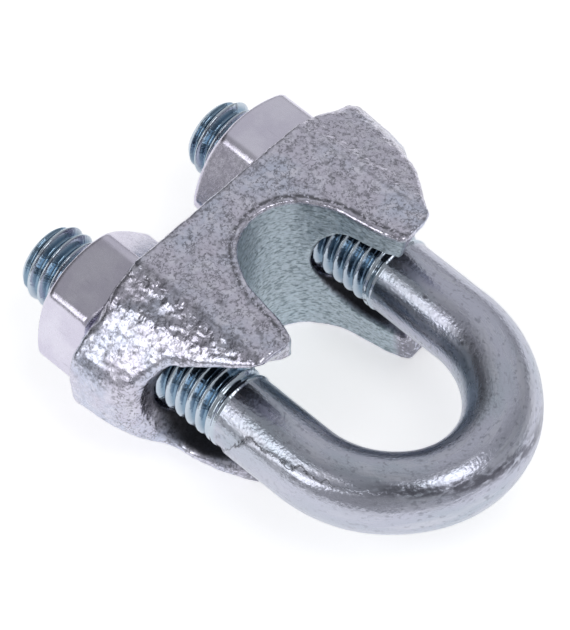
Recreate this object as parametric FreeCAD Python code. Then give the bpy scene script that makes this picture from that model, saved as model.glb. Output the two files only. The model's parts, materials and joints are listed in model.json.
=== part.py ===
"""Wire rope clip for 8 mm rope: a threaded U-bolt, a cast saddle and two hexagon nuts.

Row frame, millimetres.  The origin is the axis of the rope seat, half way along the seat.
+Z runs along the rope, +Y runs from the bow of the U-bolt towards the nuts, and +X runs
across the two legs.  The clip lies flat on the rear face of its saddle.
"""
import FreeCAD, Part
import math
import os

from FreeCAD import Vector

# ---------------------------------------------------------------- driving dimensions
ROPE_D = 8.0                # rope that the seat is made for
THREAD_D = 6.0              # M6 thread, major diameter
PITCH = 1.0                 # M6 coarse pitch
THREAD_DEPTH = 0.56         # radial depth of the thread groove in the legs
ROOT_FLAT = 0.22            # width of the flat at the bottom of that groove
THREAD_PLAY = 0.07          # play between nut and leg, along the axis and at the root and crest
THREAD_START = 0.5          # the groove starts this far from the shoulder
GROOVE_OVER = 0.1           # thread cutters reach this far past the surface that they cut

SHANK_D = 5.8               # plain part of the U-bolt
LEG_SPACING = 15.8          # leg centre to leg centre
LEG_SHIFT = -0.8            # the U-bolt sits off centre in the loose holes of the saddle
BOW_START_Y = -9.4          # where the straight legs meet the bow
BOW_DEPTH = 9.0             # from there to the bottom of the bow, on the centreline
BOW_SIDE_R = 9.6            # centreline radius of the two side arcs of the bow
SHOULDER_Y = -3.0           # end of the thread on the legs
LEFT_TIP_Y = 16.6           # the two legs were cut to slightly different lengths
RIGHT_TIP_Y = 15.7
TIP_CHAMFER = 0.8           # length of the chamfer at the tips
TIP_DEPTH = 0.55            # and how far it narrows the leg, each side

SADDLE_HALF = 7.6           # half of the saddle along the rope
SEAT_Y = 7.6                # plane that the nuts bear on
SEAT_ARC_HALF_DEG = 58.0    # the rope seat is a round arc this far to each side of its top
PRONG_END_Y = -5.05         # ends of the four prongs
TUNNEL_TOP_Y = 2.7          # top of the passage that straddles the legs
TUNNEL_R = 4.7              # radius of its rounded top
TUNNEL_FOOT_HALF = 5.4      # half width of its open end
TUNNEL_FOOT_Y = -8.0        # that end, just past the prongs
HOLE_R = 3.5                # leg holes through the seat plate
HOLE_STRETCH = 0.5          # the leg holes are this much longer to each side, across the legs
HOLE_BOTTOM_Y = -1.0        # the leg holes open into the passage above this height
LIP_BREAK = 0.35            # broken edge of the leg holes at the nut side

NUT_AF = 10.0               # across flats
NUT_HEIGHT = 4.7
NUT_CORNER_R = 0.9          # rounding of the upright edges
NUT_CHAMFER_DEG = 30.0
NUT_FACE_SHARE = 0.97       # diameter of the round bearing face, as a share of the flats
NUT_SINK = 0.2              # the countersinks are this much wider than the thread, each side
NUT_SEAT_GAP = 0.03         # nuts stand this far off the saddle
LEFT_NUT_TURN = 13.0        # where the first corner of each nut points, from +X towards +Z
RIGHT_NUT_TURN = 53.0

# ---------------------------------------------------------------- derived sizes
SEAT_R = ROPE_D / 2
LEFT_X = LEG_SHIFT - LEG_SPACING / 2
RIGHT_X = LEG_SHIFT + LEG_SPACING / 2
THREAD_R = THREAD_D / 2
ROOT_R = THREAD_R - THREAD_DEPTH
SHANK_R = SHANK_D / 2
FLANK = math.tan(math.radians(30))
REACH = 40.0                # longer than anything that has to be cut through

# Plan of the saddle's quarter, (x, z), from above the ridge of its front face to the tip of its
# nose: at the nut seat, at two heights of the nose and at the ends of the prongs.  The front and
# rear faces are cut flat at SADDLE_HALF, which leaves the ridges about 8 out.
SADDLE_PLANS = [
    (SEAT_Y, [(7.13, 8.0), (11.6, 5.95), (14.25, 3.4), (15.0, 0.0)]),
    (4.4, [(7.13, 8.0), (10.57, 6.43), (13.7, 3.4), (14.75, 0.0)]),
    (2.0, [(7.13, 8.0), (9.8, 6.79), (13.2, 3.4), (13.9, 0.0)]),
    (PRONG_END_Y, [(7.36, 8.0), (8.8, 6.6), (9.6, 4.2), (9.85, 0.0)]),
]
# Half of the rope gap below the round seat, (x, y), ending past the prongs.
GAP_FLANK = [(4.35, 0.59), (4.9, -3.5), (6.2, -6.6)]


def prism(points, vector):
    """Solid made by extruding the closed outline through points along vector."""
    outline = Part.makePolygon(points + points[:1])
    return Part.Face(outline).extrude(vector)


def lines(points):
    """Straight edges from each point to the next."""
    return [Part.LineSegment(a, b).toShape() for a, b in zip(points, points[1:])]


def y_cylinder(x, y_low, y_high, radius):
    """Cylinder along Y."""
    return Part.makeCylinder(radius, y_high - y_low, Vector(x, y_low, 0), Vector(0, 1, 0))


def y_cone(x, y_low, y_high, radius_low, radius_high):
    """Cone along Y."""
    axis = Vector(0, 1, 0)
    return Part.makeCone(radius_low, radius_high, y_high - y_low, Vector(x, y_low, 0), axis)


def on_leg(shape, x, y):
    """Take a piece made along +Z at the origin to the leg at x, with its foot at y."""
    shape.rotate(Vector(0, 0, 0), Vector(1, 0, 0), -90)
    shape.translate(Vector(x, y, 0))
    return shape


def cut_thread(blank, z_start, z_end, r_inner, half_inner, r_outer, half_outer):
    """Cut a right-hand helical groove about Z into blank, one turn at a time.

    The groove's section is a trapezium, half_inner wide each side at r_inner and half_outer
    at r_outer.  At z_start its middle crosses the plane y = 0 on the +X side.
    """
    helix = Part.makeHelix(PITCH, PITCH, r_outer)
    section = Part.makePolygon([
        Vector(r_inner, 0, -half_inner),
        Vector(r_outer, 0, -half_outer),
        Vector(r_outer, 0, half_outer),
        Vector(r_inner, 0, half_inner),
        Vector(r_inner, 0, -half_inner),
    ])
    turn = Part.Wire(helix.Edges).makePipeShell([section], True, True)
    for index in range(math.ceil((z_end - z_start) / PITCH)):
        groove = turn.copy()
        groove.translate(Vector(0, 0, z_start + index * PITCH))
        blank = blank.cut(groove)
    return blank


def bow_arc(centre, start, degrees):
    """Round bar bent about an axis along Z through centre, from start through degrees."""
    radial = start.sub(centre)
    tangent = Vector(-radial.y, radial.x, 0)
    section = Part.Face(Part.Wire(Part.makeCircle(SHANK_R, start, tangent)))
    return section.revolve(centre, Vector(0, 0, 1), degrees)


def threaded_end(tip_y):
    """Threaded end of a leg, made along +Z from the shoulder to the chamfered tip."""
    length = tip_y - SHOULDER_Y
    blank = Part.makeCylinder(THREAD_R, length - TIP_CHAMFER)
    tip = Part.makeCone(THREAD_R, THREAD_R - TIP_DEPTH, TIP_CHAMFER,
                        Vector(0, 0, length - TIP_CHAMFER))
    half_root = ROOT_FLAT / 2
    r_outer = THREAD_R + GROOVE_OVER
    half_outer = half_root + (THREAD_DEPTH + GROOVE_OVER) * FLANK
    return cut_thread(blank.fuse(tip), THREAD_START, length + PITCH,
                      ROOT_R, half_root, r_outer, half_outer)


def leg(x, tip_y):
    """One straight leg: plain shank and its threaded end."""
    shank = y_cylinder(x, BOW_START_Y, SHOULDER_Y, SHANK_R)
    return shank.fuse(on_leg(threaded_end(tip_y), x, SHOULDER_Y))


def u_bolt():
    """Round bar bent to a slightly deep bow of three arcs, with two threaded legs."""
    half = LEG_SPACING / 2
    inset = BOW_SIDE_R - half
    # The bottom arc is tangent to both side arcs and reaches BOW_DEPTH below the legs.
    reach = BOW_SIDE_R - BOW_DEPTH
    drop = (inset ** 2 - reach ** 2) / (2 * reach)
    turn = math.degrees(math.atan2(drop, inset))
    right_centre = Vector(LEG_SHIFT - inset, BOW_START_Y, 0)
    left_centre = Vector(LEG_SHIFT + inset, BOW_START_Y, 0)
    low_centre = Vector(LEG_SHIFT, BOW_START_Y - drop, 0)
    low_r = BOW_DEPTH - drop
    low_start = low_centre.add(Vector(low_r * math.cos(math.radians(-turn)),
                                      low_r * math.sin(math.radians(-turn)), 0))
    right_arc = bow_arc(right_centre, Vector(RIGHT_X, BOW_START_Y, 0), -turn)
    left_arc = bow_arc(left_centre, Vector(LEFT_X, BOW_START_Y, 0), turn)
    low_arc = bow_arc(low_centre, low_start, -(180 - 2 * turn))
    bow = left_arc.fuse([low_arc, right_arc])
    return bow.fuse([leg(LEFT_X, LEFT_TIP_Y), leg(RIGHT_X, RIGHT_TIP_Y)])


def plan_wire(y, quarter):
    """Closed plan outline of the saddle at height y, mirrored from one quarter of it."""
    def corner(index, side_x, side_z):
        px, pz = quarter[index]
        return Vector(side_x * px, y, side_z * pz)
    edges = []
    for side in (1, -1):
        out = [corner(index, side, side) for index in (0, 1, 2)]
        back = [corner(index, side, -side) for index in (2, 1, 0)]
        nose = Part.Arc(out[-1], corner(3, side, side), back[0]).toShape()
        edges += lines(out) + [nose] + lines(back)
        edges += lines([back[-1], corner(0, -side, -side)])
    return Part.Wire(edges)


def saddle_block():
    """Outer form: a long hexagon with round noses that narrows towards the prongs."""
    wires = [plan_wire(y, quarter) for y, quarter in SADDLE_PLANS]
    slab = Part.makeBox(REACH, REACH, 2 * SADDLE_HALF,
                        Vector(-REACH / 2, -REACH / 2, -SADDLE_HALF))
    return Part.makeLoft(wires, True, True).common(slab)


def rope_gap():
    """Everything that the rope passes through: the round seat with its flaring flanks."""
    half = math.radians(SEAT_ARC_HALF_DEG)
    arc_x = SEAT_R * math.sin(half)
    arc_y = SEAT_R * math.cos(half)
    z = -REACH / 2
    arc = Part.Arc(Vector(-arc_x, arc_y, z), Vector(0, SEAT_R, z), Vector(arc_x, arc_y, z))
    right = [Vector(px, py, z) for px, py in GAP_FLANK]
    left = [Vector(-px, py, z) for px, py in reversed(GAP_FLANK)]
    run = [Vector(arc_x, arc_y, z)] + right + left + [Vector(-arc_x, arc_y, z)]
    return Part.Face(Part.Wire([arc.toShape()] + lines(run))).extrude(Vector(0, 0, REACH))


def leg_tunnel():
    """Passage along X between the front and rear prongs, which the legs stand in."""
    x = -REACH / 2
    spring_y = TUNNEL_TOP_Y - TUNNEL_R
    arc = Part.Arc(Vector(x, spring_y, -TUNNEL_R), Vector(x, TUNNEL_TOP_Y, 0),
                   Vector(x, spring_y, TUNNEL_R))
    run = [
        Vector(x, spring_y, TUNNEL_R),
        Vector(x, TUNNEL_FOOT_Y, TUNNEL_FOOT_HALF),
        Vector(x, TUNNEL_FOOT_Y, -TUNNEL_FOOT_HALF),
        Vector(x, spring_y, -TUNNEL_R),
    ]
    return Part.Face(Part.Wire([arc.toShape()] + lines(run))).extrude(Vector(REACH, 0, 0))


def slot_middle(x, y_low, y_high, half_low, half_high):
    """Straight stretch between the two round ends of a leg hole."""
    left = x - HOLE_STRETCH
    outline = [
        Vector(left, y_low, -half_low),
        Vector(left, y_low, half_low),
        Vector(left, y_high, half_high),
        Vector(left, y_high, -half_high),
    ]
    return prism(outline, Vector(2 * HOLE_STRETCH, 0, 0))


def leg_hole(x):
    """Cutters for the long hole of one leg through the seat plate, with a broken upper edge."""
    lip_low = SEAT_Y - LIP_BREAK
    top = SEAT_Y + LIP_BREAK
    top_r = HOLE_R + 2 * LIP_BREAK
    pieces = [
        slot_middle(x, HOLE_BOTTOM_Y, top, HOLE_R, HOLE_R),
        slot_middle(x, lip_low, top, HOLE_R, top_r),
    ]
    for end_x in (x - HOLE_STRETCH, x + HOLE_STRETCH):
        pieces.append(y_cylinder(end_x, HOLE_BOTTOM_Y, top, HOLE_R))
        pieces.append(y_cone(end_x, lip_low, top, HOLE_R, top_r))
    return pieces


def saddle():
    """Cast saddle: rope seat, four prongs that straddle the legs, and the nut seat."""
    cutters = [rope_gap(), leg_tunnel()]
    for side in (-1, 1):
        cutters += leg_hole(side * LEG_SPACING / 2)
    return saddle_block().cut(cutters).removeSplitter()


def hexagon_blank(turn):
    """Hexagonal bar along Z with rounded upright edges, its first corner turned from +X."""
    corner_r = NUT_AF / 2 / math.cos(math.radians(30))
    points = []
    for index in range(6):
        angle = math.radians(turn + 60 * index)
        points.append(Vector(corner_r * math.cos(angle), corner_r * math.sin(angle), 0))
    blank = prism(points, Vector(0, 0, NUT_HEIGHT))
    upright = [edge for edge in blank.Edges if abs(edge.tangentAt(0).z) > 0.5]
    return blank.makeFillet(NUT_CORNER_R, upright)


def nut(x, turn):
    """Hexagon nut: chamfered at both faces, threaded bore with a countersink at each end."""
    slope = math.tan(math.radians(NUT_CHAMFER_DEG))
    face_r = NUT_AF / 2 * NUT_FACE_SHARE
    middle = NUT_HEIGHT / 2
    wide_r = face_r + middle / slope
    lower = Part.makeCone(face_r, wide_r, middle)
    upper = Part.makeCone(wide_r, face_r, middle, Vector(0, 0, middle))
    blank = hexagon_blank(-turn).common(lower.fuse(upper))
    bore_r = ROOT_R + THREAD_PLAY
    sink_r = THREAD_R + NUT_SINK
    sink = sink_r - bore_r
    bore = Part.makeCylinder(bore_r, NUT_HEIGHT)
    low_sink = Part.makeCone(sink_r, bore_r, sink)
    high_sink = Part.makeCone(bore_r, sink_r, sink, Vector(0, 0, NUT_HEIGHT - sink))
    # The groove in the nut is the leg's ridge made THREAD_PLAY larger all round, and the
    # ridge lies half a pitch from the leg's own groove.
    half_crest = PITCH / 2 - ROOT_FLAT / 2 - THREAD_DEPTH * FLANK
    r_outer = THREAD_R + THREAD_PLAY
    r_inner = bore_r - GROOVE_OVER
    half_outer = half_crest + THREAD_PLAY * (1 - FLANK)
    half_inner = half_outer + (r_outer - r_inner) * FLANK
    foot = SEAT_Y + NUT_SEAT_GAP
    phase = (foot - SHOULDER_Y - THREAD_START - PITCH / 2) % PITCH
    shape = cut_thread(blank.cut([bore, low_sink, high_sink]), -phase - PITCH,
                       NUT_HEIGHT + PITCH, r_inner, half_inner, r_outer, half_outer)
    return on_leg(shape, x, foot)


def write_node(name, shape):
    """Report one finished piece and write it as STEP."""
    print(name, len(shape.Solids), "solid", shape.isValid(), round(shape.Volume, 2), "mm3")
    shape.Solids[0].exportStep("parts/" + name + ".step")


os.makedirs("parts", exist_ok=True)
write_node("u_bolt", u_bolt())
write_node("saddle", saddle())
write_node("nut_left", nut(LEFT_X, LEFT_NUT_TURN))
write_node("nut_right", nut(RIGHT_X, RIGHT_NUT_TURN))
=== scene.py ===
"""Looks for the wire rope clip: zinc-plated cast saddle, bent and threaded U-bolt, hexagon nuts.

Lengths inside the shape functions are millimetres in the row frame; meshes and objects are metres.
"""

import json
import math

import bpy
import numpy as np
import openvdb
from mathutils import Matrix, Vector, noise


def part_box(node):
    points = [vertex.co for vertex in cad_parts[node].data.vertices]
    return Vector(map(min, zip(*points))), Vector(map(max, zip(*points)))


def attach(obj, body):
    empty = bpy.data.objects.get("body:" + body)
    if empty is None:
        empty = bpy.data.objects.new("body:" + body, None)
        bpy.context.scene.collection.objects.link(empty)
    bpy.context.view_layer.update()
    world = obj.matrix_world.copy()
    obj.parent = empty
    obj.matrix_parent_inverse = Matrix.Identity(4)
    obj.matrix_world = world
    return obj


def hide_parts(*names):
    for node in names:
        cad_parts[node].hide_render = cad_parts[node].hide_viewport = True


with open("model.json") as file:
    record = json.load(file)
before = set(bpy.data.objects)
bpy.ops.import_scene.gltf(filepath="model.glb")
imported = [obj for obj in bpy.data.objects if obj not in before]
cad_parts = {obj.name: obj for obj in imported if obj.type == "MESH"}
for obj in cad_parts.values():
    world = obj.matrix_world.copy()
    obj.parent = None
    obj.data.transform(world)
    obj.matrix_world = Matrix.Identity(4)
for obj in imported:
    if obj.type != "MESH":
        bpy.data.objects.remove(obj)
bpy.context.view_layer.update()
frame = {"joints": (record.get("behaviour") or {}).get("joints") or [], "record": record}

# ---------------------------------------------------------------- sizes taken from the frame
MM = 0.001
JOINTS = {joint["name"]: joint for joint in frame["joints"]}
MOUNTS = {mount["name"]: mount for mount in frame["record"]["mounts"]}
LEFT_X = JOINTS["nut_left_spin"]["pos_m"][0] / MM
RIGHT_X = JOINTS["nut_right_spin"]["pos_m"][0] / MM
SEAT_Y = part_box("saddle")[1].y / MM
SADDLE_HALF_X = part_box("saddle")[1].x / MM
SADDLE_HALF_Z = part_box("saddle")[1].z / MM
ROPE_R = MOUNTS["rope_seat"]["dims"]["r_mm"]
TIP_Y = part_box("u_bolt")[1].y / MM
BOW_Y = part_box("u_bolt")[0].y / MM
NUT_FOOT_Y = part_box("nut_left")[0].y / MM
NUT_HEIGHT = (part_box("nut_left")[1].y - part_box("nut_left")[0].y) / MM

# ---------------------------------------------------------------- sizes of the real pieces
PITCH = 1.0
THREAD_R = 3.0
ROOT_R = 2.44
SHANK_R = 2.9
HALF_ROOT = 0.11            # half of the flat at the bottom of the thread
FLANK = math.tan(math.radians(30))
SHOULDER_Y = -3.0           # the thread starts here on the legs
GROOVE_Y = SHOULDER_Y + 0.5     # the groove's middle crosses the +X side of the leg here
TIP_CHAMFER = 0.8           # length of the chamfer at the tips
TIP_DEPTH = 0.55            # and how far it narrows the leg
RIGHT_LEG_SHORT = 0.9       # the right leg is this much shorter than the left
LEG_SHIFT = (LEFT_X + RIGHT_X) / 2
LEG_HALF = (RIGHT_X - LEFT_X) / 2
BOW_SIDE_R = 9.6            # centreline radius of the two side arcs of the bow
BOW_DEPTH = 9.0
BOW_START_Y = BOW_Y + SHANK_R + BOW_DEPTH
PRESS_RISE = 0.16           # how far the pressed band stands out of the bar
PRONG_END_Y = -5.05         # the prongs of the saddle end here
PRONG_ROUGH = 0.3           # and their rough ends stand out by up to this much more
RIDGE_TOP_X = 8.0           # each ridge starts here, under the nuts
RIDGE_FOOT_Y = -3.4         # and ends at this height
ROPE_SHIFT = 0.3            # the rope's space is this far off the middle of the casting
ROPE_ARCH_FOOT_Y = 2.1      # its round top ends here
PASSAGE_TOP_Y = 2.3         # the passage for the legs reaches up to here
PASSAGE_HALF = 4.75
PASSAGE_SHIFT = 0.25        # and its middle is this far in front of the legs
HOLE_R = 3.5                # end radius of the leg holes
HOLE_HALF_SLOT = 0.5        # half of the distance between their end arcs
BEVEL_EDGE_R = 0.22         # rounding of the casting's edges, by what is beside them
CHEEK_EDGE_R = 0.3
NOSE_EDGE_R = 0.6
ROPE_EDGE_R = 0.28
HOLE_EDGE_R = 0.3
FRONT_PRONG_EDGE_R = 0.5
REAR_PRONG_EDGE_R = 0.9
NUT_AF = 10.3
NUT_CORNER_R = 1.0
NUT_TURNS = {"nut_left": 13.0, "nut_right": 53.0}
NUT_CHAMFER = math.radians(30)
SADDLE_STEP = 0.15          # mesh spacing of the saddle
NUT_STEP = 0.13
BAR_STEP = 0.26             # ring spacing of the bar where it has no thread
BAR_SIDES = 88

# ---------------------------------------------------------------- view and lamps: degrees, metres
VIEW_AZIMUTH = -40.535
VIEW_ELEVATION = 55.458
VIEW_ROLL = -5.531
VIEW_DISTANCE = 0.5806
VIEW_ACROSS = -0.00694      # the middle of the picture, from the middle of the bow's top
VIEW_UP = 0.005543
LENS_MM = 470.3
SENSOR_MM = 36
LAMP_DISTANCE = 0.45


# ---------------------------------------------------------------- distance fields
def smoothstep(low, high, value):
    """0 below low, 1 above high, and smooth between."""
    t = np.clip((value - low) / (high - low), 0.0, 1.0)
    return t * t * (3 - 2 * t)


def softplus(value):
    """0 where value is well below 0, value where it is well above, and smooth between."""
    return np.logaddexp(0, value)


def inside_both(a, b, radius):
    """Field of what is inside a and b, with the edge between them rounded."""
    corner = np.hypot(np.maximum(a + radius, 0), np.maximum(b + radius, 0))
    return np.minimum(-radius, np.maximum(a, b)) + corner


def plane(p, point, normal):
    """Signed distance from a plane, positive on the side of its normal."""
    unit = np.array(normal, float) / np.linalg.norm(normal)
    return (p - np.array(point, float)) @ unit


def plane_through(p, a, b, c):
    """Signed distance from the plane through three points, positive away from the origin."""
    normal = np.cross(np.subtract(b, a), np.subtract(c, a))
    if np.dot(normal, a) < 0:
        normal = -normal
    return plane(p, a, normal)


def by_side(p, left, right):
    """Field of the left half where x is negative and of the right half elsewhere."""
    return np.where(p[..., 0] < 0, left, right)


def saddle_planes(p):
    """Fields of the casting's flat face, the facet beside its ridge, and the cheek below that."""
    q = np.abs(p) * (1, 0, 1) + p * (0, 1, 0)
    bevels, cheeks = [], []
    # The ridge is upright on the left and leans outwards on the right, as the casting came out.
    # Each row has the x of the ridge's foot, and three corners of the cheek.
    for foot_x, knee, low_corner, outer_corner in (
        (8.15, (11.6, SEAT_Y, 5.95), (9.8, -2.65, 6.8), (14.35, SEAT_Y, 3.4)),
        (8.95, (13.2, SEAT_Y, 5.35), (11.5, -2.65, 6.47), (14.9, SEAT_Y, 2.8)),
    ):
        ridge_top = (RIDGE_TOP_X, SEAT_Y, SADDLE_HALF_Z)
        ridge_foot = (foot_x, RIDGE_FOOT_Y, SADDLE_HALF_Z)
        bevels.append(plane_through(q, ridge_top, ridge_foot, knee))
        cheeks.append(plane_through(q, knee, low_corner, outer_corner))
    return q[..., 2] - SADDLE_HALF_Z, by_side(p, *bevels), by_side(p, *cheeks)


def saddle_body(p):
    """Outer form of the casting: flat faces, two facets beside each ridge, and round noses."""
    x, y, z = np.abs(p[..., 0]), p[..., 1], np.abs(p[..., 2])
    front, bevel, cheek = saddle_planes(p)
    # Each nose narrows towards the prongs and bulges in the middle.
    taper = by_side(p, 0.66, 0.64) * softplus((by_side(p, 3.2, 2.9) - y) / 1.1) * 1.1
    bulge = 0.013 + 0.030 * smoothstep(-3.0, 5.0, y)
    nose = (x - (SADDLE_HALF_X + by_side(p, 0.4, -0.1) - taper - bulge * z * z)) * 0.85
    slant = 0.1 + 0.32 * smoothstep(5.0, 7.5, x)
    prong_end = (PRONG_END_Y - PRONG_ROUGH + slant * (SADDLE_HALF_Z - z) - y) * 0.92
    body = inside_both(front, bevel, BEVEL_EDGE_R)
    body = inside_both(body, cheek, CHEEK_EDGE_R)
    body = inside_both(body, nose, NOSE_EDGE_R)
    corner = smoothstep(9.5, 12.5, x) * smoothstep(3.5, 5.5, z)
    body = inside_both(body, y - SEAT_Y, 0.4 + 0.8 * corner)
    prong_edge_r = np.where(p[..., 2] < 0, REAR_PRONG_EDGE_R, FRONT_PRONG_EDGE_R)
    return inside_both(body, prong_end, prong_edge_r)


def rope_gap(p):
    """Field of the space for the rope: a round top whose flanks flare below it."""
    y = p[..., 1]
    x = p[..., 0] - ROPE_SHIFT - 0.07 * smoothstep(-1, -5, y)
    half = 4.35 - 0.146 * (y - 0.6) - 0.22 * softplus((y - 0.6) / 0.45)
    half = half + 0.08 * softplus((-3.5 - y) / 0.4)
    flank = (np.abs(x) - half) * 0.95
    arch = np.hypot(x, y) - ROPE_R
    return np.where(y > ROPE_ARCH_FOOT_Y, arch, flank)


def leg_tunnel(x, y, z):
    """Field of the passage that straddles the two legs: an oval arch on flaring walls.

    x is the distance from the casting's middle. The arch is lower and the walls flare at the noses.
    """
    outer = smoothstep(5.5, 8.5, x)
    rise = 3.8 - 1.5 * outer
    spring = PASSAGE_TOP_Y - rise
    z = z - PASSAGE_SHIFT
    half = PASSAGE_HALF - 0.1 * outer
    wall = half + (0.08 + np.where(z > 0, 0.36, 0.04) * outer) * (spring - y)
    scale = np.hypot(z / half, (y - spring) / rise)
    slope = np.hypot(z / half ** 2, (y - spring) / rise ** 2)
    arch = (scale - 1) * scale / np.maximum(slope, 1e-6)
    return np.where(y > spring, arch, np.abs(z) - wall)


def saddle_field(p):
    """Signed distance, near enough, from the surface of the saddle."""
    x, y, z = np.abs(p[..., 0]), p[..., 1], p[..., 2]
    field = inside_both(saddle_body(p), -rope_gap(p), ROPE_EDGE_R)
    lip = 0.2 + 0.9 * smoothstep(7.0, 10.5, x)
    field = inside_both(field, -leg_tunnel(x, y, z), lip)
    hole = np.hypot(np.maximum(np.abs(x - LEG_HALF) - HOLE_HALF_SLOT, 0), z) - HOLE_R
    return inside_both(field, -hole, HOLE_EDGE_R)


def nut_field(p, turn):
    """Signed distance from a chamfered hexagon nut standing on y = 0 about the Y axis."""
    x, y, z = p[..., 0], p[..., 1], p[..., 2]
    radius = np.hypot(x, z)
    angle = np.arctan2(z, x) - math.radians(turn)
    sector = math.pi / 3
    off = angle - (np.floor(angle / sector) + 0.5) * sector
    across, along = radius * np.cos(off), np.abs(radius * np.sin(off))
    apothem = NUT_AF / 2
    half_side = apothem * math.tan(sector / 2)
    flat = across - apothem
    reach = half_side - NUT_CORNER_R * math.tan(sector / 2)
    past = np.maximum(along - reach, 0)
    corner = np.hypot(across - (apothem - NUT_CORNER_R), past) - NUT_CORNER_R
    hexagon = np.where(along > reach, corner, flat)
    middle = np.abs(y - NUT_HEIGHT / 2) - NUT_HEIGHT / 2
    chamfer = (radius - apothem * 0.97) * math.sin(NUT_CHAMFER) + middle * math.cos(NUT_CHAMFER)
    field = inside_both(hexagon, chamfer, 0.25)
    field = inside_both(field, middle, 0.12)
    bore = radius - (ROOT_R + 0.07)
    sink = (radius - THREAD_R - 0.2 - middle) * math.sqrt(0.5)
    return inside_both(inside_both(field, -bore, 0.05), -sink, 0.08)


# ---------------------------------------------------------------- meshes
def gradient(field, points):
    """Gradient of the field at each point."""
    step = 0.01
    columns = []
    for axis in range(3):
        offset = np.zeros(3)
        offset[axis] = step
        columns.append((field(points + offset) - field(points - offset)) / (2 * step))
    return np.stack(columns, -1)


def surface(field, low, high, step):
    """Points and quads of the field's zero surface, moved onto it, and its normals."""
    axes = [np.arange(a, b + step, step) for a, b in zip(low, high)]
    samples = np.stack(np.meshgrid(*axes, indexing="ij"), -1)
    grid = openvdb.FloatGrid(step * 4)
    grid.copyFromArray(field(samples).astype(np.float32))
    points, quads = grid.convertToQuads(0.0)
    points = points * step + np.array(low)
    for _ in range(3):
        slope = gradient(field, points)
        length = np.maximum((slope ** 2).sum(-1), 0.2)
        points = points - slope * (field(points) / length)[:, None]
    slope = gradient(field, points)
    normals = slope / np.maximum(np.linalg.norm(slope, axis=-1), 1e-6)[:, None]
    first = points[quads[:, 0]]
    facing = np.cross(points[quads[:, 1]] - first, points[quads[:, 2]] - first)
    if (facing * normals[quads[:, 0]]).sum() < 0:
        quads = quads[:, ::-1]
    return points, quads, normals


def make_object(name, points, faces, body, node, material, attributes):
    """Blender object from millimetre points; it rides on a body and stands for a CAD node."""
    mesh = bpy.data.meshes.new(name)
    mesh.from_pydata((points * MM).tolist(), [], faces)
    mesh.validate()
    mesh.polygons.foreach_set("use_smooth", np.ones(len(mesh.polygons), bool))
    for key, values in attributes.items():
        if values.ndim == 1:
            layer = mesh.attributes.new(key, "FLOAT", "POINT")
            layer.data.foreach_set("value", values.astype(np.float32))
        else:
            layer = mesh.attributes.new(key, "FLOAT_VECTOR", "POINT")
            layer.data.foreach_set("vector", values.astype(np.float32).ravel())
    mesh.materials.append(material)
    piece = bpy.data.objects.new(name, mesh)
    bpy.context.scene.collection.objects.link(piece)
    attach(piece, body)
    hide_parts(node)


def grain(points, size, octaves=3, seed=0.0):
    """Smooth noise from -1 to 1 at each point, with lumps of about the given size."""
    shifted = points / size + seed
    return np.array([noise.fractal(Vector(p), 1.0, 2.0, octaves) for p in shifted])


def cells(points, size, seed=0.0):
    """Distance to the nearest of scattered points, in units of size."""
    return np.array([noise.voronoi(Vector(p))[0][0] for p in points / size + seed])


def saddle_regions(points, normals):
    """How much each point of the casting belongs to each region of its skin, from 0 to 1."""
    x, y, z = points.T
    out = np.abs(x)
    front, bevel, cheek = saddle_planes(points)
    gap = rope_gap(points)
    seat = smoothstep(0.5, 0.1, gap) * smoothstep(9.0, 7.0, out) * smoothstep(-0.12, -0.35, front)
    # The rear prongs' ends are worn, and the inside of the passage for the legs is marked for painted
    # shade.
    worn = smoothstep(PRONG_END_Y + 1.4, PRONG_END_Y + 0.6, y) * smoothstep(0.5, -0.5, z)
    seat *= 1 - worn
    passage = leg_tunnel(out, y, z)
    tunnel = smoothstep(0.17, 0.02, passage) * (1 - seat) * smoothstep(13.2, 11.0, out)
    tunnel *= smoothstep(SEAT_Y - 0.3, SEAT_Y - 1.2, y)
    tunnel *= 0.35 + 0.65 * smoothstep(PRONG_END_Y + 0.8, PRONG_END_Y + 3.0, y)
    lip = smoothstep(1.5, 0.7, passage) * smoothstep(7.5, 9.0, out) * (1 - tunnel)
    side = smoothstep(7.6, 8.2, out) * smoothstep(0.1, 0.3, np.abs(normals[:, 0]))
    side *= (1 - tunnel) * (1 - 0.8 * lip)
    nose = side * smoothstep(0.85, 0.97, np.abs(normals[:, 0]))
    # Beads of zinc stand along both edges of the facet beside the ridge, and dark grit fills
    # lines on the flat face: along the ridge, round the rope's space and under the nuts.
    on_bevel = smoothstep(-0.14, -0.05, bevel)
    beads = np.maximum(smoothstep(-0.62, -0.35, front), smoothstep(-0.42, -0.15, cheek))
    beads = beads * on_bevel * side
    ridge = smoothstep(-0.16, -0.02, bevel)
    rim = smoothstep(0.3, 0.45, gap) * smoothstep(0.85, 0.6, gap)
    top = 0.75 * smoothstep(SEAT_Y - 0.55, SEAT_Y - 0.2, y)
    line = np.maximum(np.maximum(ridge, rim), top) * smoothstep(-0.12, -0.02, front)
    line = np.maximum(line, 0.7 * worn)
    return {"seat": seat, "tunnel": tunnel, "lip": lip, "side": side, "beads": beads,
            "line": line, "nose": nose}


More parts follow.
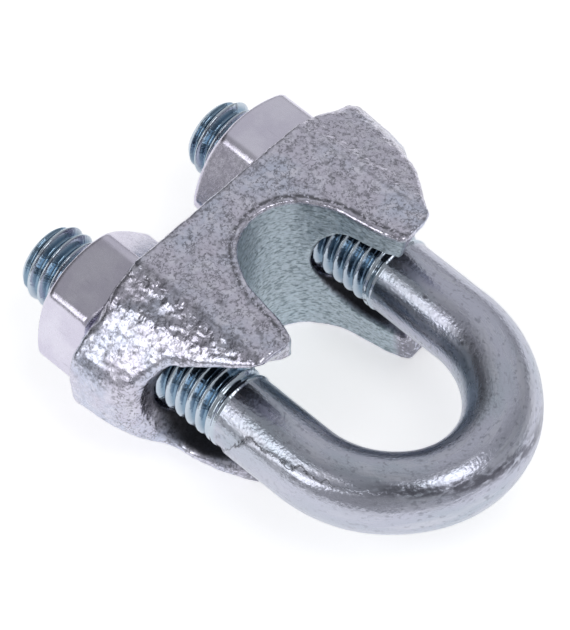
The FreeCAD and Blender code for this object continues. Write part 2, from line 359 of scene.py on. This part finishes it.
def saddle_mesh(material):
    """The casting, with its skin of broad waves, lumps and pits."""
    margin = 0.6
    low = (-SADDLE_HALF_X - margin, PRONG_END_Y - margin, -SADDLE_HALF_Z - margin)
    high = (SADDLE_HALF_X + margin, SEAT_Y + margin, SADDLE_HALF_Z + margin)
    points, quads, normals = surface(saddle_field, low, high, SADDLE_STEP)
    on = saddle_regions(points, normals)
    rough = 0.35 + 0.1 * on["side"] + 0.75 * on["beads"] - 0.15 * on["seat"] - 0.1 * on["tunnel"]
    rough = (rough - 0.1 * on["lip"]) * (1 - 0.45 * on["nose"])
    lumps = grain(points, 0.62, 3)
    pits = smoothstep(0.34, 0.08, cells(points, 0.62, 3.1))
    wave = grain(points, 4.0, 2, 7.7)
    edge = grain(points, 1.3, 2, 4.4)
    height = 0.05 * wave + 0.04 * edge + 0.085 * rough * lumps - 0.05 * rough * pits
    points = points + normals * height[:, None]
    attributes = {key: on[key] for key in ("seat", "tunnel", "side", "beads", "line", "nose")}
    attributes.update({"pits": pits * rough, "lumps": lumps})
    make_object("saddle_casting", points, quads.tolist(), "saddle", "saddle",
                material, attributes)


def nut_mesh(node, x, material):
    """One nut, cut with the thread that runs on its leg."""
    turn = NUT_TURNS[node]
    centre = np.array([x, NUT_FOOT_Y, 0.0])

    def field(p):
        return nut_field(p - centre, turn)

    reach, margin = NUT_AF * 0.62, 0.5
    low = centre - (reach, margin, reach)
    high = centre + (reach, NUT_HEIGHT + margin, reach)
    points, quads, normals = surface(field, low, high, NUT_STEP)
    local = points - centre
    radius = np.hypot(local[:, 0], local[:, 2])
    # The thread: points of the bore move out where the leg's ridge runs, with a little play.
    bore = smoothstep(THREAD_R, ROOT_R + 0.1, radius)
    ridge = np.clip(THREAD_R + 0.07 - thread_groove(points, x, 0.5), 0, 1)
    outward = np.stack([local[:, 0], 0 * radius, local[:, 2]], -1) / radius[:, None]
    points = points + outward * (bore * ridge)[:, None]
    dents = grain(points, 2.5, 3, 2.2 + turn)
    points = points + normals * (0.012 * dents * (1 - bore))[:, None]
    make_object(node + "_plated", points, quads.tolist(), node, node, material,
                {"bore": bore})


def thread_groove(points, x, phase):
    """Radius that the thread has at each point about the leg at x, phase turns further round."""
    turn = np.arctan2(-points[:, 2], points[:, 0] - x) / (2 * math.pi)
    place = (points[:, 1] - GROOVE_Y) / PITCH - turn + phase
    from_groove = np.abs(place - np.round(place)) * PITCH
    return thread_profile(from_groove)


def thread_profile(from_groove):
    """Radius of the thread, crests and roots rounded, by distance from the groove's middle."""
    rise = (from_groove - HALF_ROOT) / FLANK
    depth = THREAD_R - ROOT_R
    soft = 0.07
    low = soft * softplus(rise / soft)
    return ROOT_R + depth - soft * softplus((depth - low) / soft)


def bow_path():
    """Centreline of the bow, from the left leg round to the right: two side arcs and a tighter one."""
    inset = BOW_SIDE_R - LEG_HALF
    reach = BOW_SIDE_R - BOW_DEPTH
    drop = (inset ** 2 - reach ** 2) / (2 * reach)
    turn = math.atan2(drop, inset)
    side = np.linspace(0, turn, round(BOW_SIDE_R * turn / BAR_STEP))
    low_r = BOW_DEPTH - drop
    low_points = round(low_r * (math.pi - 2 * turn) / BAR_STEP)
    low = np.linspace(math.pi + turn, 2 * math.pi - turn, low_points)
    left = [(inset - BOW_SIDE_R * math.cos(a), -BOW_SIDE_R * math.sin(a)) for a in side]
    bottom = [(low_r * math.cos(a), low_r * math.sin(a) - drop) for a in low[1:-1]]
    right = [(-px, py) for px, py in reversed(left)]
    path = np.array(left + bottom + right)
    return path + (LEG_SHIFT, BOW_START_Y)


def bar_path():
    """Centreline from the left tip round the bow to the right tip, and its tangents."""
    thread_step = PITCH / 20
    thread_end = SHOULDER_Y - 0.8
    shank = np.arange(thread_end, BOW_START_Y, -BAR_STEP)
    legs = []
    for x, tip_y in ((LEFT_X, TIP_Y), (RIGHT_X, TIP_Y - RIGHT_LEG_SHORT)):
        down = np.concatenate([np.arange(tip_y, thread_end, -thread_step), shank])
        legs.append(np.stack([np.full(len(down), x), down], -1))
    left, right = legs
    path = np.concatenate([left, bow_path(), right[::-1]])
    tangent = np.gradient(path, axis=0)
    tangent /= np.linalg.norm(tangent, axis=1)[:, None]
    tangent[:len(left) - 2] = (0, -1)
    tangent[-len(right) + 2:] = (0, 1)
    return path, tangent


def leg_radius(flat, height):
    """Radius of the bar with its thread, shoulder and chamfered tips, and the thread's depth."""
    on_left = flat[:, 0] < LEG_SHIFT
    thread = thread_groove(flat, np.where(on_left, LEFT_X, RIGHT_X), 0.0)
    cut = smoothstep(SHOULDER_Y - 0.05, SHOULDER_Y + 0.9, height)
    radius = THREAD_R + (thread - THREAD_R) * cut
    step_down = smoothstep(SHOULDER_Y - 0.25, SHOULDER_Y - 0.02, height)
    radius = SHANK_R + (radius - SHANK_R) * step_down
    tip_y = np.where(on_left, TIP_Y, TIP_Y - RIGHT_LEG_SHORT)
    chamfer = THREAD_R - TIP_DEPTH + (tip_y - height) * TIP_DEPTH / TIP_CHAMFER
    return np.minimum(radius, chamfer), (THREAD_R - thread) * cut


def u_bolt_mesh(material):
    """The bent bar as one skin of rings, from the left tip round the bow to the right tip."""
    path, tangent = bar_path()
    rings = len(path)
    theta = np.arange(BAR_SIDES) * 2 * math.pi / BAR_SIDES
    cos, sin = np.cos(theta), np.sin(theta)
    outward = np.stack([tangent[:, 1], -tangent[:, 0]], -1)
    radial = np.zeros((rings, BAR_SIDES, 3))
    radial[..., :2] = outward[:, None, :] * cos[None, :, None]
    radial[..., 2] = sin
    centre = np.zeros((rings, 1, 3))
    centre[:, 0, :2] = path
    flat = (centre + radial * THREAD_R).reshape(-1, 3)
    # One value for each point: its place along and round the bar, and its height.
    along = np.concatenate([[0], np.cumsum(np.linalg.norm(np.diff(path, axis=0), axis=1))])
    length = np.repeat(along, BAR_SIDES)
    share = length / along[-1]
    height = np.repeat(path[:, 1], BAR_SIDES)
    round_cos, round_sin = np.tile(cos, rings), np.tile(sin, rings)
    angle = np.tile(np.degrees(theta), rings)
    angle = np.where(angle > 180, angle - 360, angle)
    radius, groove = leg_radius(flat, height)
    band, pressed = pressed_band(share, angle, height)
    radius = radius + PRESS_RISE * pressed * smoothstep(-0.25, 0.25, band)
    # A dark reflection is painted beside the band's edge at the bottom of the bow.
    reflection_band = smoothstep(-1.1, -0.5, band) * smoothstep(0.3, 0.0, band)
    reflection_band *= smoothstep(0.39, 0.44, share) * smoothstep(0.60, 0.52, share)
    shank = 1 - smoothstep(SHOULDER_Y - 0.4, SHOULDER_Y, height)
    streaks = np.stack([length / 6, round_cos * 1.4, round_sin * 1.4], -1)
    radius = radius + 0.02 * shank * grain(streaks, 1.0, 3, 5.5)
    radius = radius + 0.008 * grain(flat, 0.7, 2, 1.3)
    skin = (centre + radial * radius.reshape(rings, BAR_SIDES, 1)).reshape(-1, 3)
    points, faces = close_tips(skin, tube_quads(rings, BAR_SIDES), rings, BAR_SIDES)

    def with_tips(values, at_tips=0.0):
        """The skin's values, followed by one value for each point added at the tips."""
        extra = np.full((len(points) - len(skin),) + values.shape[1:], at_tips)
        return np.concatenate([values, extra])

    attributes = {
        "bar": with_tips(np.stack([length, round_cos * SHANK_R, round_sin * SHANK_R], -1)),
        "groove": with_tips(groove),
        "threaded": with_tips(1 - shank, 1.0),
        "band": with_tips(band, -9.0),
        "pressed": with_tips(pressed),
        "reflection_band": with_tips(reflection_band),
    }
    make_object("u_bolt_plated", points, faces, "u_bolt", "u_bolt", material,
                attributes)


def pressed_band(share, angle, height):
    """The band that the bending tool pressed out along the bar's outer, lower side.

    share is the place along the bar from 0 to 1, and angle is 0 outwards and 90 at the front.
    Returns the distance inside the band's edge, in mm, and how strongly it is pressed.
    """
    upper = 44 + 9 * smoothstep(0.28, 0.38, share) - 70 * smoothstep(0.42, 0.64, share)
    across = np.radians(upper - angle) * SHANK_R
    start = (SHOULDER_Y - 1.2) - 0.035 * (angle + 12) - height
    sharpness = 4
    inside = -np.logaddexp(-across * sharpness, -start * sharpness) / sharpness
    lower = -120
    inside = np.where(angle < lower, -1.0, inside)
    return inside, 0.9 * smoothstep(0.46, 0.38, share)


def tube_quads(rings, around):
    """Quads between each ring and the next, facing outwards."""
    ring = np.arange(rings - 1)[:, None] * around
    slot = np.arange(around)[None, :]
    after = (slot + 1) % around
    quads = np.stack([ring + slot, ring + around + slot, ring + around + after, ring + after], -1)
    return quads.reshape(-1, 4)


def close_tips(points, quads, rings, around):
    """Close both tips with smaller rings that dip a little towards the middle."""
    faces = quads.tolist()
    added = []
    count = len(points)
    for base, flip in ((0, True), ((rings - 1) * around, False)):
        edge = points[base:base + around]
        middle = edge.mean(0)
        last = list(range(base, base + around))
        for share, dip in ((0.93, -0.05), (0.6, 0.0), (0.25, 0.02)):
            added.append(middle + (edge - middle) * share - (0, dip, 0))
            now = list(range(count, count + around))
            count += around
            for index in range(around):
                after = (index + 1) % around
                face = [last[index], now[index], now[after], last[after]]
                faces.append(face[::-1] if flip else face)
            last = now
        faces.append(last if flip else last[::-1])
    return np.concatenate([points] + added), faces


# ---------------------------------------------------------------- materials
def connect(links, source, target):
    """Link an output to an input, or set a plain value on it."""
    if isinstance(source, bpy.types.NodeSocket):
        links.new(source, target)
    else:
        target.default_value = source


class Shading:
    """A Principled material being built, with short calls for the nodes it needs."""

    def __init__(self, name):
        self.material = bpy.data.materials.new(name)
        self.material.use_nodes = True
        self.nodes = self.material.node_tree.nodes
        self.links = self.material.node_tree.links
        self.shader = self.nodes["Principled BSDF"]
        self.place = self.nodes.new("ShaderNodeTexCoord").outputs["Object"]

    def link(self, source, target):
        """Link an output to an input, or set a plain value on it."""
        connect(self.links, source, target)

    def attribute(self, name, output="Fac"):
        """A value that the mesh carries at each point."""
        node = self.nodes.new("ShaderNodeAttribute")
        node.attribute_name = name
        return node.outputs[output]

    def stretched(self, vector, scale):
        """The vector with each of its axes scaled."""
        node = self.nodes.new("ShaderNodeMapping")
        self.link(vector, node.inputs["Vector"])
        node.inputs["Scale"].default_value = scale
        return node.outputs["Vector"]

    def noise(self, vector, size, detail=4.0, roughness=0.55, distortion=0.0):
        """Noise whose lumps have the given size, in the vector's own units."""
        node = self.nodes.new("ShaderNodeTexNoise")
        self.link(vector, node.inputs["Vector"])
        node.inputs["Scale"].default_value = 1 / size
        node.inputs["Detail"].default_value = detail
        node.inputs["Roughness"].default_value = roughness
        node.inputs["Distortion"].default_value = distortion
        return node.outputs["Fac"]

    def specks(self, vector, size):
        """Distance from scattered points that are about size apart."""
        node = self.nodes.new("ShaderNodeTexVoronoi")
        self.link(vector, node.inputs["Vector"])
        node.inputs["Scale"].default_value = 1 / size
        return node.outputs["Distance"]

    def spread(self, value, low, high, to_low=0.0, to_high=1.0):
        """The value carried smoothly from low..high to to_low..to_high."""
        node = self.nodes.new("ShaderNodeMapRange")
        node.interpolation_type = "SMOOTHSTEP"
        for index, item in enumerate((value, low, high, to_low, to_high)):
            self.link(item, node.inputs[index])
        return node.outputs["Result"]

    def math(self, operation, a, b=0.0):
        """Result of a math node on two values."""
        node = self.nodes.new("ShaderNodeMath")
        node.operation = operation
        self.link(a, node.inputs[0])
        self.link(b, node.inputs[1])
        return node.outputs[0]

    def mix(self, share, a, b):
        """Colour a, with a share of colour b over it."""
        node = self.nodes.new("ShaderNodeMix")
        node.data_type = "RGBA"
        self.link(share, node.inputs["Factor"])
        self.link(a, node.inputs[6])
        self.link(b, node.inputs[7])
        return node.outputs[2]

    def bump(self, height, distance, strength=1.0, after=None, sunk=False):
        """Bump of a height from 0 to 1 that stands for distance millimetres, raised or sunk."""
        node = self.nodes.new("ShaderNodeBump")
        node.invert = sunk
        node.inputs["Strength"].default_value = strength
        node.inputs["Distance"].default_value = distance * MM
        self.link(height, node.inputs["Height"])
        if after is not None:
            self.link(after, node.inputs["Normal"])
        return node.outputs["Normal"]

    def finish(self, colour, roughness, normal):
        """The finished metal."""
        self.link(colour, self.shader.inputs["Base Color"])
        self.link(roughness, self.shader.inputs["Roughness"])
        self.link(normal, self.shader.inputs["Normal"])
        self.shader.inputs["Metallic"].default_value = 1.0
        return self.material


def rgb(red, green, blue):
    """Colour with full alpha."""
    return (red, green, blue, 1.0)


def casting_material():
    """Zinc plating over a rough sand casting."""
    s = Shading("zinc_casting")
    side, seat, tunnel = s.attribute("side"), s.attribute("seat"), s.attribute("tunnel")
    pits, lumps = s.attribute("pits"), s.attribute("lumps")
    broad = s.noise(s.place, 4.5 * MM, 3)
    patch = s.noise(s.place, 1.1 * MM, 4, 0.6)
    fine = s.noise(s.place, 0.30 * MM, 5, 0.65)
    lilac, blue, pale = rgb(0.57, 0.55, 0.65), rgb(0.53, 0.56, 0.68), rgb(0.67, 0.66, 0.75)
    colour = s.mix(s.spread(broad, 0.42, 0.62), lilac, blue)
    colour = s.mix(s.spread(patch, 0.4, 0.75), colour, pale)
    # The rope seat has a paler, greener plating, with short drag marks across it.
    colour = s.mix(s.math("MULTIPLY", seat, 0.85), colour, rgb(0.52, 0.61, 0.66))
    drag = s.noise(s.stretched(s.place, (0.6, 0.6, 1.3)), 0.26 * MM, 3, 0.6, 0.4)
    drag = s.math("MULTIPLY", s.spread(drag, 0.42, 0.68), seat)
    dark = rgb(0.13, 0.13, 0.15)
    colour = s.mix(s.math("MULTIPLY", drag, 0.8), colour, rgb(0.15, 0.20, 0.22))
    # Fine dark crevices wander over the skin.
    crevice = s.math("ABSOLUTE", s.math("SUBTRACT", s.noise(s.place, 0.55 * MM, 3, 0.6), 0.5))
    crevice = s.math("MULTIPLY", s.spread(crevice, 0.045, 0.0),
                     s.spread(s.noise(s.place, 0.8 * MM, 2), 0.40, 0.54))
    speck = s.math("MAXIMUM", s.math("MULTIPLY", s.spread(fine, 0.50, 0.66), 0.70),
                   s.math("MULTIPLY", crevice, 0.78))
    speck = s.math("MAXIMUM", speck, s.math("MULTIPLY", s.attribute("line"),
                                            s.spread(fine, 0.40, 0.50)))
    plain = s.math("MAXIMUM", s.math("MULTIPLY", seat, 0.8),
                   s.math("MULTIPLY", s.attribute("nose"), 0.75))
    speck = s.math("MULTIPLY", speck, s.math("SUBTRACT", 1.0, plain))
    colour = s.mix(speck, colour, dark)
    hollow = s.math("MAXIMUM", s.spread(pits, 0.25, 0.7), s.spread(lumps, -0.3, -0.8))
    hollow = s.math("MULTIPLY", hollow, s.math("SUBTRACT", 1.0, seat))
    colour = s.mix(s.math("MULTIPLY", hollow, 0.6), colour, dark)
    # The inside of the passage for the legs is painted nearly black: painted shade.
    colour = s.mix(s.math("MULTIPLY", tunnel, 0.96), colour, rgb(0.035, 0.035, 0.04))
    roughness = s.spread(fine, 0.3, 0.7, 0.16, 0.30)
    roughness = s.math("ADD", roughness, s.math("MULTIPLY", seat, 0.25))
    roughness = s.math("ADD", roughness, s.math("MULTIPLY", tunnel, 0.45))
    roughness = s.math("ADD", roughness, s.math("MULTIPLY", side, 0.06))
    rough = s.math("ADD", 0.55, s.math("MULTIPLY", s.attribute("beads"), 0.6))
    rough = s.math("SUBTRACT", rough, s.math("MULTIPLY", side, 0.34))
    grit = s.noise(s.place, 0.40 * MM, 1.2, 0.5)
    sand = s.noise(s.place, 0.22 * MM, 0.6, 0.5)
    normal = s.bump(s.math("MULTIPLY", grit, rough), 0.085)
    normal = s.bump(s.math("MULTIPLY", sand, rough), 0.030, 1.0, normal)
    return s.finish(colour, roughness, normal)


def bar_material():
    """Satin zinc on drawn bar: streaks along it, a few dark ticks, blue in the thread."""
    s = Shading("zinc_bar")
    bar = s.attribute("bar", "Vector")
    threaded = s.attribute("threaded")
    groove = s.attribute("groove")
    streak = s.noise(s.stretched(bar, (0.22, 1.0, 1.0)), 0.9, 5, 0.6)
    hair = s.noise(s.stretched(bar, (0.12, 1.0, 1.0)), 0.22, 4, 0.6)
    cloud = s.noise(s.stretched(bar, (0.5, 1.0, 1.0)), 3.5, 3)
    skin = s.noise(s.stretched(bar, (0.8, 1.0, 1.0)), 0.30, 2, 0.5)
    lilac, blue, pale = rgb(0.47, 0.48, 0.57), rgb(0.42, 0.46, 0.53), rgb(0.57, 0.58, 0.65)
    colour = s.mix(s.spread(cloud, 0.4, 0.65), lilac, blue)
    colour = s.mix(s.spread(streak, 0.45, 0.8), colour, pale)
    colour = s.mix(s.math("MULTIPLY", s.spread(hair, 0.58, 0.72), 0.3), colour,
                   rgb(0.24, 0.24, 0.28))
    colour = s.mix(s.math("MULTIPLY", s.spread(skin, 0.56, 0.70), 0.55), colour,
                   rgb(0.24, 0.25, 0.30))
    # The thread's plating is teal, painted darker towards the roots of its grooves as painted shade.
    teal_root_shade = s.mix(s.spread(groove, 0.05, 0.5), rgb(0.50, 0.57, 0.64), rgb(0.17, 0.27, 0.37))
    colour = s.mix(s.math("MULTIPLY", threaded, 0.9), colour, teal_root_shade)
    ticks = s.spread(s.specks(s.stretched(bar, (0.7, 1.0, 1.0)), 2.2), 0.10, 0.03)
    colour = s.mix(s.math("MULTIPLY", ticks, 0.75), colour, rgb(0.08, 0.08, 0.10))
    # A dark crack runs along the ragged step of the pressed band.
    ragged = s.noise(bar, 1.1, 3, 0.6)
    step = s.math("ADD", s.attribute("band"), s.spread(ragged, 0.2, 0.8, -0.4, 0.4))
    crack = s.spread(s.math("ABSOLUTE", step), 0.13, 0.03)
    crack = s.math("MULTIPLY", crack, s.spread(streak, 0.36, 0.52))
    crack = s.math("MULTIPLY", crack, s.attribute("pressed"))
    colour = s.mix(s.math("MULTIPLY", crack, 0.85), colour, rgb(0.08, 0.08, 0.09))
    inside = s.math("MULTIPLY", s.spread(step, -0.06, 0.10), s.attribute("pressed"))
    colour = s.mix(s.math("MULTIPLY", inside, 0.5), colour, rgb(0.52, 0.53, 0.61))
    # A dark reflection is painted past the end of the crack.
    dark_reflection = s.spread(s.noise(s.stretched(bar, (0.6, 1.0, 1.0)), 0.35, 2, 0.5), 0.32, 0.52)
    dark_reflection = s.math("MULTIPLY", dark_reflection, s.attribute("reflection_band"))
    colour = s.mix(s.math("MULTIPLY", dark_reflection, 0.85), colour, rgb(0.12, 0.12, 0.15))
    roughness = s.spread(streak, 0.3, 0.75, 0.20, 0.34)
    roughness = s.math("SUBTRACT", roughness, s.math("MULTIPLY", threaded, 0.12))
    normal = s.bump(inside, 0.10, sunk=True)
    normal = s.bump(hair, 0.02, 0.6, normal, sunk=True)
    normal = s.bump(s.noise(bar, 0.24, 1, 0.5), 0.022, 1.0, normal, sunk=True)
    return s.finish(colour, roughness, normal)


def nut_material():
    """Bright zinc on pressed steel: soft clouds, faint scratches and small dents."""
    s = Shading("zinc_nut")
    cloud = s.noise(s.place, 3.0 * MM, 3)
    fine = s.noise(s.place, 0.3 * MM, 4, 0.6)
    scratch = s.noise(s.stretched(s.place, (1.0, 0.08, 1.0)), 0.22 * MM, 4, 0.6)
    colour = s.mix(s.spread(cloud, 0.38, 0.66), rgb(0.59, 0.565, 0.67), rgb(0.66, 0.64, 0.735))
    colour = s.mix(s.math("MULTIPLY", s.spread(scratch, 0.62, 0.74), 0.35), colour,
                   rgb(0.32, 0.31, 0.36))
    colour = s.mix(s.attribute("bore"), colour, rgb(0.12, 0.15, 0.19))
    roughness = s.spread(fine, 0.3, 0.7, 0.18, 0.30)
    normal = s.bump(cloud, 0.05, 0.25)
    normal = s.bump(fine, 0.016, 0.6, normal)
    return s.finish(colour, roughness, normal)


def floor_material():
    """Pale matt floor with the faintest mottling."""
    s = Shading("studio_floor")
    tone = s.noise(s.place, 0.08, 3)
    colour = s.mix(s.spread(tone, 0.3, 0.7), rgb(0.93, 0.93, 0.94), rgb(0.95, 0.95, 0.95))
    s.shader.inputs["Emission Color"].default_value = rgb(1, 1, 1)
    s.shader.inputs["Emission Strength"].default_value = 0.5
    s.link(colour, s.shader.inputs["Base Color"])
    s.shader.inputs["Roughness"].default_value = 0.7
    return s.material


# ---------------------------------------------------------------- studio
def direction(azimuth, elevation):
    """Unit vector towards an azimuth (0 is -Y, 90 is +X) and elevation, in degrees."""
    a, e = math.radians(azimuth), math.radians(elevation)
    return Vector((math.sin(a) * math.cos(e), -math.cos(a) * math.cos(e), math.sin(e)))


def softbox(name, azimuth, elevation, width, height, radiance):
    """Area light of a given radiance, facing the clip."""
    data = bpy.data.lights.new(name, "AREA")
    data.shape = "RECTANGLE"
    data.size = width
    data.size_y = height
    data.energy = radiance * math.pi * width * height
    lamp = bpy.data.objects.new(name, data)
    bpy.context.scene.collection.objects.link(lamp)
    towards = direction(azimuth, elevation)
    lamp.location = towards * LAMP_DISTANCE
    lamp.rotation_euler = towards.to_track_quat("Z", "Y").to_euler()


def world_light():
    """Grey room with a few darker and brighter parts, as a small studio has."""
    world = bpy.data.worlds.new("studio")
    bpy.context.scene.world = world
    world.use_nodes = True
    nodes, links = world.node_tree.nodes, world.node_tree.links
    place = nodes.new("ShaderNodeTexCoord").outputs["Generated"]
    patches = [
        # azimuth, elevation, inner and outer radius in degrees, brightness
        (-62, 55, 12, 34, 0.36),
        (-160, 15, 15, 45, 0.12),
        (0, 0, 20, 60, 0.60),
        (122, 42, 10, 42, 0.72),
        (-116, 3, 8, 30, 0.33),
    ]
    room = 0.44
    for azimuth, elevation, inner, outer, level in patches:
        dot = nodes.new("ShaderNodeVectorMath")
        dot.operation = "DOT_PRODUCT"
        links.new(place, dot.inputs[0])
        dot.inputs[1].default_value = direction(azimuth, elevation)
        share = nodes.new("ShaderNodeMapRange")
        share.interpolation_type = "SMOOTHSTEP"
        share.inputs["From Min"].default_value = math.cos(math.radians(outer))
        share.inputs["From Max"].default_value = math.cos(math.radians(inner))
        links.new(dot.outputs["Value"], share.inputs["Value"])
        mix = nodes.new("ShaderNodeMix")
        links.new(share.outputs["Result"], mix.inputs["Factor"])
        connect(links, room, mix.inputs[2])
        mix.inputs[3].default_value = level
        room = mix.outputs[0]
    background = nodes["Background"]
    background.inputs["Color"].default_value = rgb(0.97, 0.98, 1.0)
    links.new(room, background.inputs["Strength"])


def floor():
    """Plain floor that the rear face of the saddle lies on."""
    clearance = 0.0001
    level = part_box("saddle")[0].z - clearance
    half = 3.0
    corners = [(x * half, y * half, level) for x, y in ((-1, -1), (1, -1), (1, 1), (-1, 1))]
    mesh = bpy.data.meshes.new("studio_floor")
    mesh.from_pydata(corners, [], [(0, 1, 2, 3)])
    mesh.materials.append(floor_material())
    plate = bpy.data.objects.new("studio_floor", mesh)
    bpy.context.scene.collection.objects.link(plate)


def camera():
    """Long lens from the bow side, high up and turned a little."""
    back = direction(VIEW_AZIMUTH, VIEW_ELEVATION)
    azimuth = math.radians(VIEW_AZIMUTH)
    right = Vector((math.cos(azimuth), math.sin(azimuth), 0))
    up = back.cross(right)
    roll = math.radians(VIEW_ROLL)
    across = right * math.cos(roll) + up * math.sin(roll)
    upward = up * math.cos(roll) - right * math.sin(roll)
    aim = Vector((LEG_SHIFT, BOW_START_Y, 0)) * MM + across * VIEW_ACROSS + upward * VIEW_UP
    data = bpy.data.cameras.new("camera")
    data.sensor_width = SENSOR_MM
    data.lens = LENS_MM
    data.clip_start = 0.01
    eye = bpy.data.objects.new("camera", data)
    bpy.context.scene.collection.objects.link(eye)
    place = aim + back * VIEW_DISTANCE
    eye.matrix_world = Matrix((
        (across.x, upward.x, back.x, place.x),
        (across.y, upward.y, back.y, place.y),
        (across.z, upward.z, back.z, place.z),
        (0, 0, 0, 1),
    ))
    bpy.context.scene.camera = eye


# ---------------------------------------------------------------- the scene
bpy.context.scene.view_settings.view_transform = "Standard"
camera()
world_light()
softbox("softbox_front", 5, 62, 0.17, 0.22, 2.6)
softbox("softbox_left", -109, 37, 0.22, 0.28, 2.0)
floor()
saddle_mesh(casting_material())
u_bolt_mesh(bar_material())
nut_steel = nut_material()
nut_mesh("nut_left", LEFT_X, nut_steel)
nut_mesh("nut_right", RIGHT_X, nut_steel)
